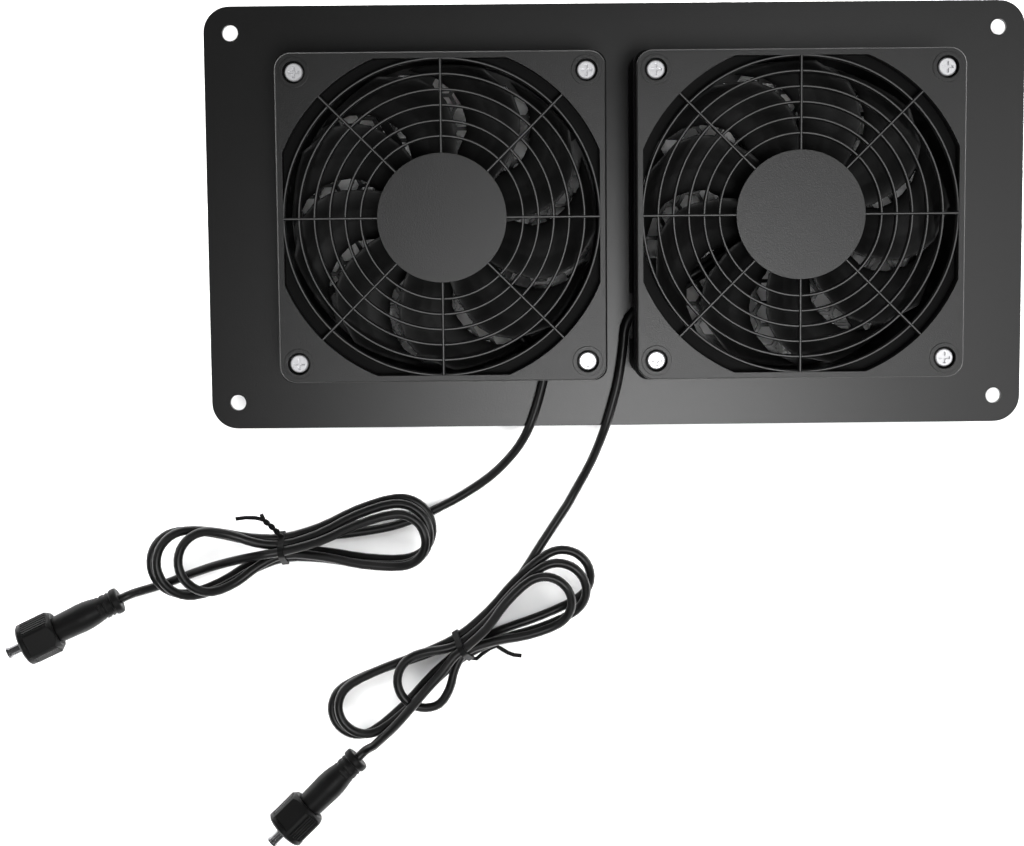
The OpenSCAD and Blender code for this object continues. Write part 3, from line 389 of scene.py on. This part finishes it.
def run(start, slot, end, steps):
    """The given steps of the way between two loop ends, through one place at the waist."""
    points = []
    for k in steps:
        t = k / RUN_STEPS
        e = (1 + math.cos(2 * math.pi * t)) / 2
        f = 1 - (1 - e) ** 3
        near = start if t < 0.5 else end
        y = slot[0] + (near[1] - slot[0]) * e
        z = slot[1] + (near[2] - slot[1]) * f
        points.append((near[0] * abs(1 - 2 * t), y, z))
    return points


def hank_points(side):
    left, right = [], []
    for k in range(LOOPS):
        z = FLOOR_Z + k * LAYER
        lifted = z + END_LIFT[side]
        left.append(loop_end(LEFT_ENDS[side][k], 1, lifted, lifted))
        right.append(loop_end(RIGHT_ENDS[side][k], -1, z, z + LAYER + RISE_MORE))
    whole = range(1, RUN_STEPS)
    points = HANK_IN[side] + [(0, *SLOTS[0])] + run(left[0][0], SLOTS[0], left[0][0], [4, 5])
    for k in range(LOOPS):
        points += left[k] + run(left[k][-1], SLOTS[2 * k + 1], right[k][0], whole) + right[k]
        if k < LOOPS - 1:
            points += run(right[k][-1], SLOTS[2 * k + 2], left[k + 1][0], whole)
    last = right[-1][-1]
    points += run(last, SLOTS[-1], last, [1, 2]) + [(0, *SLOTS[-1])] + HANK_OUT[side]
    return [on_floor(side, p) for p in points]


def plug_frame(side):
    """The plug's own frame in metres: its axis is local Z, from the cable's end to the nose."""
    x, y = PLUG_AT[side]
    return (
        Matrix.Translation(Vector((x, y, RIM_D / 2)) * MM)
        @ Matrix.Rotation(math.radians(PLUG_TURN[side]), 4, "Z")
        @ Matrix.Rotation(math.radians(90 - PLUG_TILT), 4, "Y")
    )


def cord_points(side):
    a = math.radians(CABLE_ANGLE + FRAME_TURN[side])
    fan_x = (-1 if side == "left" else 1) * FAN_PITCH / 2
    start = [(fan_x + r * math.cos(a), r * math.sin(a), FAN_Z + CABLE_Z)
             for r in (RELIEF_END_R, RELIEF_END_R + CORD_D)]
    hank = [Vector(p) for p in hank_points(side)]
    entry = hank[0] - CORD_D * (hank[1] - hank[0]).normalized()
    plug = plug_frame(side)
    end = plug.translation / MM
    nose = plug.to_3x3() @ Vector((0, 0, 1))
    way = (hank[-1] - hank[-2]).normalized()
    a, b = hank[-1] + CORD_D * way, end - CORD_D * nose
    middle = (a + b) / 2 + (b - a).length / 8 * (way - nose)
    return [Vector(p) * MM for p in start + ROUTES[side] + [entry] + hank + [a, middle, b, end]]


def between(a, b, start, end, at):
    return ((end - at) * a + (at - start) * b) / (end - start)


def smooth(points, steps):
    """A centripetal curve through the points, cut into short steps."""
    ends = [2 * points[0] - points[1], *points, 2 * points[-1] - points[-2]]
    line = []
    for i in range(1, len(ends) - 2):
        p = ends[i - 1 : i + 3]
        t = [0.0]
        for a, b in zip(p, p[1:]):
            t.append(t[-1] + max((b - a).length, 1e-9) ** 0.5)
        for k in range(steps):
            u = t[1] + (t[2] - t[1]) * k / steps
            a = [between(p[j], p[j + 1], t[j], t[j + 1], u) for j in range(3)]
            b = [between(a[j], a[j + 1], t[j], t[j + 2], u) for j in range(2)]
            line.append(between(b[0], b[1], t[1], t[2], u))
            line[-1].z = max(line[-1].z, FLOOR_Z * MM)
    return line + [points[-1].copy()]


def tube(name, line, radius, made, sides=4):
    data = bpy.data.curves.new(name, "CURVE")
    data.dimensions = "3D"
    data.bevel_depth = radius
    data.bevel_resolution = sides
    data.use_fill_caps = True
    spline = data.splines.new("POLY")
    spline.points.add(len(line) - 1)
    for point, p in zip(spline.points, line):
        point.co = (*p, 1)
    spline.use_smooth = True
    piece = bpy.data.objects.new(name, data)
    scene.collection.objects.link(piece)
    paint(piece, made)
    return piece


CURVE_STEPS = 3
for side in SIDES:
    line = smooth(cord_points(side), CURVE_STEPS)
    piece = tube(f"{side}_cord", line, CORD_D / 2 * MM, CORD)
    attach(piece, PANEL)
    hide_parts(f"{side}_lead", f"{side}_hank", f"{side}_tail")


# Floor and light. The floor lies a little below the part, so that the two never share a face.
FLOOR_HALF = 3.0
FLOOR_DROP = 0.2 * MM
WORLD_LIGHT = 0.1
MIDDLE = (-0.05, -0.08, 0)
LIGHT_SIZE = 0.8
# The lights over the part: where each stands, where it looks, its two sides and its power.
OVERHEAD = {
    "over": ((0.1, -0.26, 1.3), (0.02, -0.07, 0), (0.36, 0.36), 4.8),
    "over right": ((0.62, -0.12, 1.3), (0.1, 0, 0), (0.8, 0.9), 3.0),
}
# The four sides hold one light for the part and two for the floor, each at its own height.
AROUND = {"left": (-1.3, 0.2), "right": (1.3, 0.2), "top": (0, 1.3), "bottom": (-0.1, -1.5)}
PART_LIGHT_Z, PART_LIGHT_W = 0.9, 2.5
LOW_LIGHT_Z, LOW_LIGHT_W, LOW_LIGHT_SPREAD = 0.5, 4.4, 60
HIGH_LIGHT_Z, HIGH_LIGHT_W = 1.3, 15
FLOOR_TOP_AT, FLOOR_TOP_W = (0, 0, 1.3), 1.0


def make_floor():
    h = FLOOR_HALF
    mesh = bpy.data.meshes.new("floor")
    mesh.from_pydata([(-h, -h, 0), (h, -h, 0), (h, h, 0), (-h, h, 0)], [], [(0, 1, 2, 3)])
    floor = bpy.data.objects.new("floor", mesh)
    scene.collection.objects.link(floor)
    floor.location.z = -FLOOR_DROP
    paint(floor, FLOOR)
    return floor


def area_light(name, at, power, lights, look=MIDDLE, size=(LIGHT_SIZE, LIGHT_SIZE), spread=180):
    """A soft light that reaches only what the given collection takes in."""
    data = bpy.data.lights.new(name, "AREA")
    data.energy = power
    data.shape = "RECTANGLE"
    data.size, data.size_y = size
    data.spread = math.radians(spread)
    light = bpy.data.objects.new(name, data)
    scene.collection.objects.link(light)
    light.location = at
    light.rotation_euler = (Vector(look) - Vector(at)).to_track_quat("-Z", "Y").to_euler()
    light.light_linking.receiver_collection = lights


def make_light(floor):
    scene.view_settings.view_transform = "Standard"
    world = bpy.data.worlds.new("world")
    scene.world = world
    world.use_nodes = True
    back = next(n for n in world.node_tree.nodes if n.type == "BACKGROUND")
    back.inputs["Color"].default_value = (1, 1, 1, 1)
    back.inputs["Strength"].default_value = WORLD_LIGHT
    floor_only = bpy.data.collections.new("floor_only")
    floor_only.objects.link(floor)
    part_only = bpy.data.collections.new("part_only")
    part_only.objects.link(floor)
    part_only.collection_objects[0].light_linking.link_state = "EXCLUDE"
    for name, (at, look, size, power) in OVERHEAD.items():
        area_light(name, at, power, part_only, look=look, size=size)
    area_light("over floor", FLOOR_TOP_AT, FLOOR_TOP_W, floor_only)
    for name, at in AROUND.items():
        area_light(name, (*at, PART_LIGHT_Z), PART_LIGHT_W, part_only)
        area_light(name + " floor low", (*at, LOW_LIGHT_Z), LOW_LIGHT_W, floor_only,
                   spread=LOW_LIGHT_SPREAD)
        area_light(name + " floor high", (*at, HIGH_LIGHT_Z), HIGH_LIGHT_W, floor_only)


make_light(make_floor())
